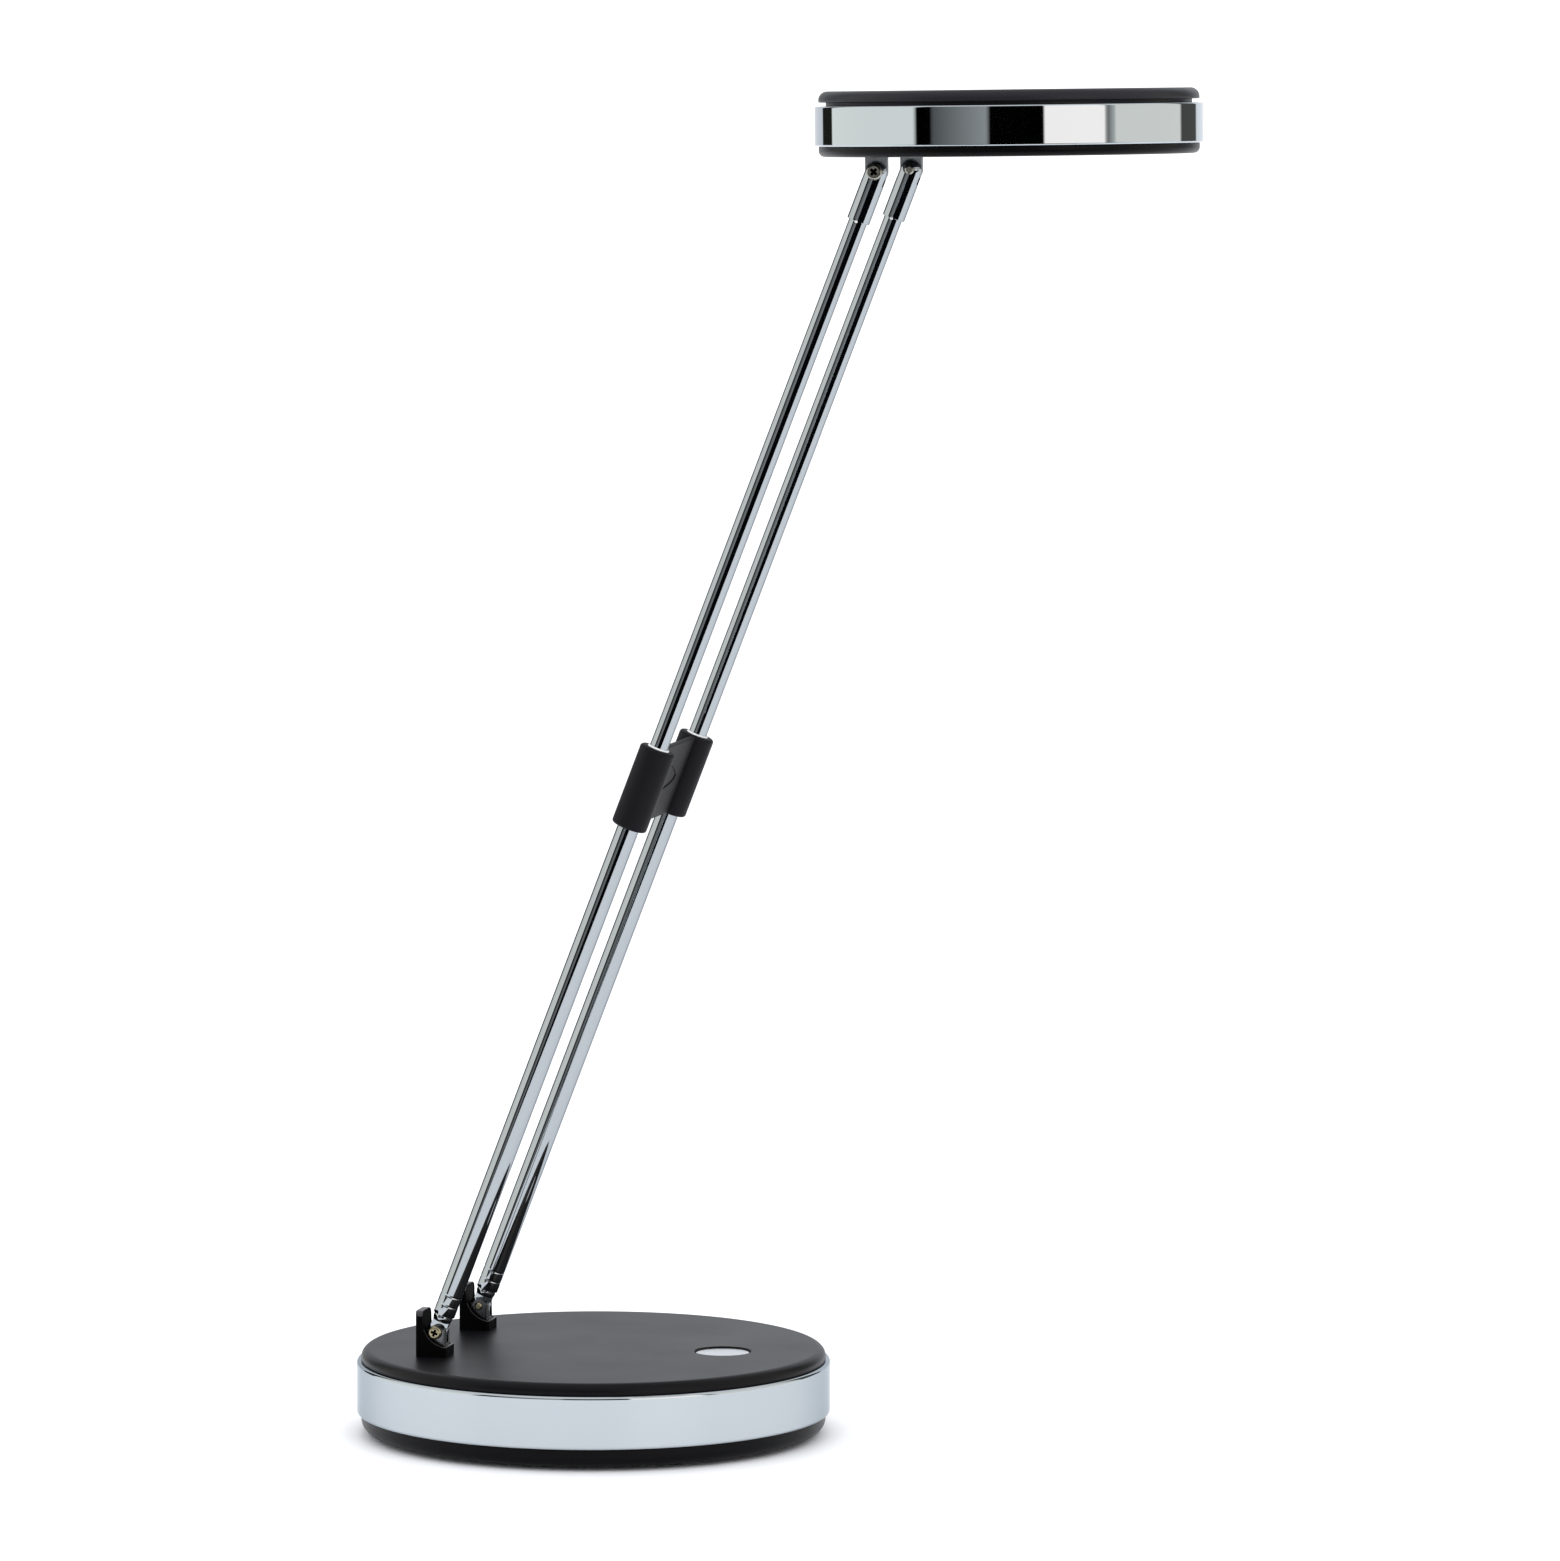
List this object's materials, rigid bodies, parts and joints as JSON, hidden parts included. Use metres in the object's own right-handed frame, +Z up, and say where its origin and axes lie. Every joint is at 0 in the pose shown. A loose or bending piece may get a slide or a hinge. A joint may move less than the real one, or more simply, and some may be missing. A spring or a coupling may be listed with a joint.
{
  "type": "folding LED desk lamp",
  "caption": "Desk lamp with a weighted round base, two telescopic chrome tubes on a base hinge, a black clip between them and a flat round tilting LED head.",
  "frame": {"origin": "centre of the round base on the surface it stands on", "axes": "+Z up; +X the way the arms lean and the head reaches; +Y along the hinge screws, to the left of someone who looks along +X"},
  "size_m": [0.2314, 0.13, 0.3683],
  "materials": {
    "cover_plastic": "fine matt moulded ABS",
    "pan_plastic": "satin moulded ABS",
    "clip_plastic": "matt moulded nylon",
    "base_chrome": "polished chrome plate",
    "tube_chrome": "polished chrome plate",
    "lug_steel": "nickel-plated steel",
    "tab_steel": "grey zinc-plated steel",
    "screw_steel": "yellow-passivated steel",
    "fastener_steel": "zinc-plated steel",
    "ballast_steel": "raw steel plate",
    "button_metal": "satin anodised",
    "bush_brass": "turned brass",
    "bush_nylon": "white nylon",
    "pad_rubber": "matt non-slip rubber",
    "circuit_board": "green solder resist",
    "component_plastic": "moulded component bodies",
    "lead_insulation": "PVC lead",
    "diffuser_plastic": "frosted PMMA",
    "reflector_plastic": "white ABS",
    "led_package": "phosphor-filled package",
    "heat_aluminium": "raw sheet"
  },
  "bodies": {
    "base": {"foot_pad": "pad_rubber", "base_pan": "pan_plastic", "base_band": "base_chrome", "base_cover": "cover_plastic", "base_screws": "fastener_steel", "ballast_plate": "ballast_steel", "control_board": "circuit_board", "board_parts": "component_plastic", "board_screws": "fastener_steel", "tact_switch": "component_plastic", "dc_inlet": "pan_plastic", "base_leads": "lead_insulation", "hinge_bracket_right": "clip_plastic", "hinge_bracket_left": "clip_plastic", "hinge_lug_right": "lug_steel", "hinge_lug_left": "lug_steel", "lug_nuts": "fastener_steel", "solder_tags": "bush_brass", "foot_screw_right": "screw_steel", "foot_screw_left": "screw_steel"},
    "button": {"power_button": "button_metal", "switch_plunger": "component_plastic"},
    "lower_arms": {"foot_knuckle_right": "tube_chrome", "foot_knuckle_left": "tube_chrome", "lower_tube_right": "tube_chrome", "lower_tube_left": "tube_chrome", "guide_bush_right": "bush_nylon", "guide_bush_left": "bush_nylon", "arm_clip": "clip_plastic"},
    "upper_arms": {"upper_tube_right": "tube_chrome", "upper_tube_left": "tube_chrome", "contact_bush_right": "bush_brass", "contact_bush_left": "bush_brass", "fork_sleeve_right": "tube_chrome", "fork_sleeve_left": "tube_chrome", "head_screw_right": "screw_steel", "head_screw_left": "screw_steel"},
    "head": {"head_tab_right": "tab_steel", "head_tab_left": "tab_steel", "tab_screws": "fastener_steel", "head_bezel": "pan_plastic", "head_band": "base_chrome", "head_cover": "cover_plastic", "head_case_screws": "fastener_steel", "diffuser": "diffuser_plastic", "reflector": "reflector_plastic", "led_board": "reflector_plastic", "leds": "led_package", "heat_plate": "heat_aluminium", "heat_plate_screws": "fastener_steel", "head_leads": "lead_insulation"}
  },
  "joints": [
    {"name": "arm_swing", "type": "hinge", "parent": "base", "child": "lower_arms", "pos_m": [-0.038, 0, 0.0302], "axis": [0, 1, 0], "range_deg": [-21, 69]},
    {"name": "arm_extension", "type": "slide", "parent": "lower_arms", "child": "upper_arms", "axis": [0.3584, 0, 0.9336], "range_m": [-0.14, 0]},
    {"name": "head_tilt", "type": "hinge", "parent": "upper_arms", "child": "head", "pos_m": [0.08313, 0, 0.34575], "axis": [0, 1, 0], "range_deg": [-68, 100]},
    {"name": "button_press", "type": "slide", "parent": "base", "child": "button", "axis": [0, 0, -1], "range_m": [0, 0.0008], "stiffness_N_per_m": 1500}
  ]
}
